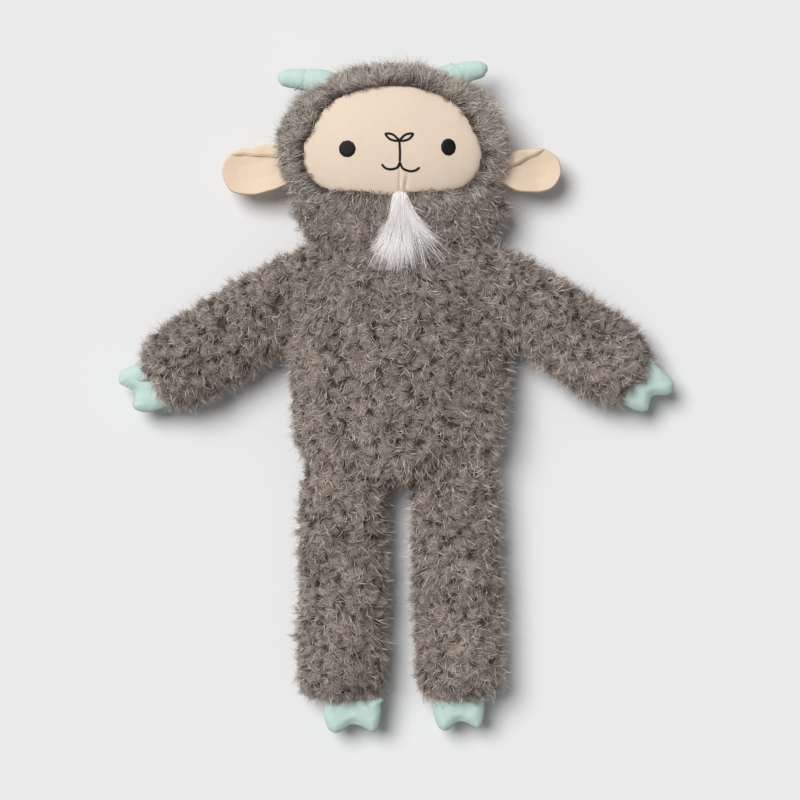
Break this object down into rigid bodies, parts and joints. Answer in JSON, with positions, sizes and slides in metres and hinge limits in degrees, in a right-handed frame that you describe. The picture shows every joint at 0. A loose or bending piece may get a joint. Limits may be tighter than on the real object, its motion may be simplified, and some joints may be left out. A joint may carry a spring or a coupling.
{
  "type": "plush goat toy",
  "caption": "Soft stuffed goat lying on its back, with curly fur, a linen face and ears, stitched features, stuffed horns and two-toed hooves, and limbs that bend.",
  "frame": {"origin": "under the middle of the toy, on the surface that it lies on", "axes": "+Y from the feet to the head, +Z out of the belly, +X to the goat's left"},
  "size_m": [0.4406, 0.5304, 0.074],
  "materials": {
    "grey_fur": "long curly sherpa pile, grey with paler shiny hairs",
    "pale_grey_fur": "the same curly pile, paler on the head",
    "linen": "plain linen weave, matt",
    "mint_twill": "fine mint twill, matt",
    "wadding": "polyester fibre filling",
    "black_thread": "satin stitch thread, slightly shiny",
    "white_fur": "long straight white pile"
  },
  "bodies": {
    "torso": {"torso_front_panel": "grey_fur", "torso_back_panel": "grey_fur", "torso_filling": "wadding"},
    "neck": {"neck_filling": "wadding"},
    "head": {"hood_front_panel": "pale_grey_fur", "hood_back_panel": "pale_grey_fur", "head_filling": "wadding", "face_panel": "linen", "right_eye": "black_thread", "left_eye": "black_thread", "nose_stitching": "black_thread", "mouth_stitching": "black_thread", "beard_tuft": "white_fur"},
    "right_ear": {"right_ear_front": "linen", "right_ear_back": "linen"},
    "right_horn": {"right_horn_cover": "mint_twill", "right_horn_filling": "wadding", "right_horn_stitch": "mint_twill"},
    "right_shoulder": {"right_shoulder_filling": "wadding"},
    "right_arm": {"right_arm_sleeve": "grey_fur", "right_arm_filling": "wadding"},
    "right_hand": {"right_hand_hoof": "mint_twill", "right_hand_filling": "wadding"},
    "right_hip": {"right_hip_filling": "wadding"},
    "right_leg": {"right_leg_sleeve": "grey_fur", "right_leg_filling": "wadding"},
    "right_foot": {"right_foot_hoof": "mint_twill", "right_foot_filling": "wadding"},
    "left_ear": {"left_ear_front": "linen", "left_ear_back": "linen"},
    "left_horn": {"left_horn_cover": "mint_twill", "left_horn_filling": "wadding", "left_horn_stitch": "mint_twill"},
    "left_shoulder": {"left_shoulder_filling": "wadding"},
    "left_arm": {"left_arm_sleeve": "grey_fur", "left_arm_filling": "wadding"},
    "left_hand": {"left_hand_hoof": "mint_twill", "left_hand_filling": "wadding"},
    "left_hip": {"left_hip_filling": "wadding"},
    "left_leg": {"left_leg_sleeve": "grey_fur", "left_leg_filling": "wadding"},
    "left_foot": {"left_foot_hoof": "mint_twill", "left_foot_filling": "wadding"}
  },
  "joints": [
    {"name": "neck_nod", "type": "hinge", "parent": "torso", "child": "neck", "pos_m": [0.001, 0.128, 0.03], "axis": [1, 0, 0], "range_deg": [-20, 25], "deforming": ["beard_tuft"]},
    {"name": "neck_turn", "type": "hinge", "parent": "neck", "child": "head", "pos_m": [0.001, 0.128, 0.03], "axis": [0, 1, 0], "range_deg": [-40, 40], "deforming": ["beard_tuft"]},
    {"name": "right_ear_fold", "type": "hinge", "parent": "head", "child": "right_ear", "pos_m": [-0.096, 0.1765, 0.0298], "axis": [0, 1, 0], "range_deg": [-40, 90], "stiffness_Nm_per_rad": 0.02},
    {"name": "right_horn_bend", "type": "hinge", "parent": "head", "child": "right_horn", "pos_m": [-0.053, 0.249, 0.036], "axis": [0, 1, 0], "range_deg": [-20, 20], "stiffness_Nm_per_rad": 0.05},
    {"name": "right_shoulder_swing", "type": "hinge", "parent": "torso", "child": "right_shoulder", "pos_m": [-0.08, 0.079, 0.024], "axis": [0, 0, -1], "range_deg": [-10, 60]},
    {"name": "right_shoulder_lift", "type": "hinge", "parent": "right_shoulder", "child": "right_arm", "pos_m": [-0.08, 0.079, 0.024], "axis": [-0.5446, 0.8387, 0], "range_deg": [-10, 80]},
    {"name": "right_wrist_bend", "type": "hinge", "parent": "right_arm", "child": "right_hand", "pos_m": [-0.19238, 0.00602, 0.024], "axis": [-0.309, 0.9511, 0], "range_deg": [-35, 35], "stiffness_Nm_per_rad": 0.05},
    {"name": "right_hip_bend", "type": "hinge", "parent": "torso", "child": "right_hip", "pos_m": [-0.04, -0.072, 0.025], "axis": [-1, 0, 0], "range_deg": [-10, 90]},
    {"name": "right_hip_spread", "type": "hinge", "parent": "right_hip", "child": "right_leg", "pos_m": [-0.04, -0.072, 0.025], "axis": [0, 0, -1], "range_deg": [0, 25]},
    {"name": "right_ankle_bend", "type": "hinge", "parent": "right_leg", "child": "right_foot", "pos_m": [-0.03907, -0.24797, 0.025], "axis": [-0.9998, 0.0174, 0], "range_deg": [-30, 30], "stiffness_Nm_per_rad": 0.05},
    {"name": "left_ear_fold", "type": "hinge", "parent": "head", "child": "left_ear", "pos_m": [0.097, 0.1765, 0.0298], "axis": [0, -1, 0], "range_deg": [-40, 90], "stiffness_Nm_per_rad": 0.02},
    {"name": "left_horn_bend", "type": "hinge", "parent": "head", "child": "left_horn", "pos_m": [0.038, 0.252, 0.036], "axis": [0, -1, 0], "range_deg": [-20, 20], "stiffness_Nm_per_rad": 0.05},
    {"name": "left_shoulder_swing", "type": "hinge", "parent": "torso", "child": "left_shoulder", "pos_m": [0.092, 0.079, 0.024], "axis": [0, 0, 1], "range_deg": [-10, 60]},
    {"name": "left_shoulder_lift", "type": "hinge", "parent": "left_shoulder", "child": "left_arm", "pos_m": [0.092, 0.079, 0.024], "axis": [-0.5693, -0.8221, 0], "range_deg": [-10, 80]},
    {"name": "left_wrist_bend", "type": "hinge", "parent": "left_arm", "child": "left_hand", "pos_m": [0.19477, 0.00784, 0.024], "axis": [-0.6691, -0.7431, 0], "range_deg": [-35, 35], "stiffness_Nm_per_rad": 0.05},
    {"name": "left_hip_bend", "type": "hinge", "parent": "torso", "child": "left_hip", "pos_m": [0.0475, -0.072, 0.025], "axis": [-1, 0, 0], "range_deg": [-10, 90]},
    {"name": "left_hip_spread", "type": "hinge", "parent": "left_hip", "child": "left_leg", "pos_m": [0.0475, -0.072, 0.025], "axis": [0, 0, 1], "range_deg": [0, 25]},
    {"name": "left_ankle_bend", "type": "hinge", "parent": "left_leg", "child": "left_foot", "pos_m": [0.04811, -0.24794, 0.025], "axis": [-0.9997, -0.0262, 0], "range_deg": [-30, 30], "stiffness_Nm_per_rad": 0.05}
  ]
}
